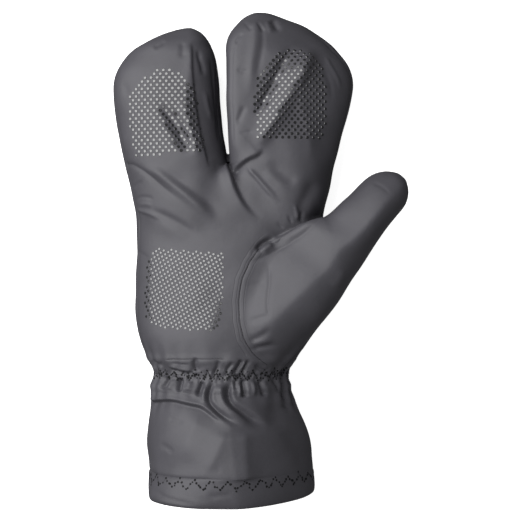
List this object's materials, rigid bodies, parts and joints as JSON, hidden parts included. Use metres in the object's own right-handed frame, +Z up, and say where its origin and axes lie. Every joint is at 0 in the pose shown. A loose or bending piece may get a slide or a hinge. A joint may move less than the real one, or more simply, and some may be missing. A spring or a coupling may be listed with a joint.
{
  "type": "three-finger rain glove",
  "caption": "Waterproof over-glove for a right hand: two wide finger stalls, a thumb, a gathered elastic wrist and a flared cuff with a folded hem.",
  "frame": {"origin": "on the floor, under the middle of the glove's bounding box, with the glove lying on its back", "axes": "+Y from the cuff to the fingertips, +X towards the thumb, +Z up out of the palm"},
  "size_m": [0.1762, 0.2894, 0.0709],
  "materials": {
    "hand_palm": "satin polyurethane-coated fabric, charcoal",
    "hand_back": "satin polyurethane-coated fabric, charcoal",
    "thumb": "satin polyurethane-coated fabric, charcoal",
    "wrist_casing": "coated fabric gathered over elastic, charcoal",
    "cuff": "satin polyurethane-coated fabric, charcoal",
    "cuff_hem": "coated fabric folded double and stitched, charcoal",
    "grip_print": "glossy raised silicone dots, black",
    "thread": "polyester sewing thread, black"
  },
  "bodies": {
    "root": {"hand_palm": "hand_palm", "hand_back": "hand_back", "thumb": "thumb", "wrist_casing": "wrist_casing", "cuff": "cuff", "cuff_hem": "cuff_hem"}
  },
  "joints": []
}
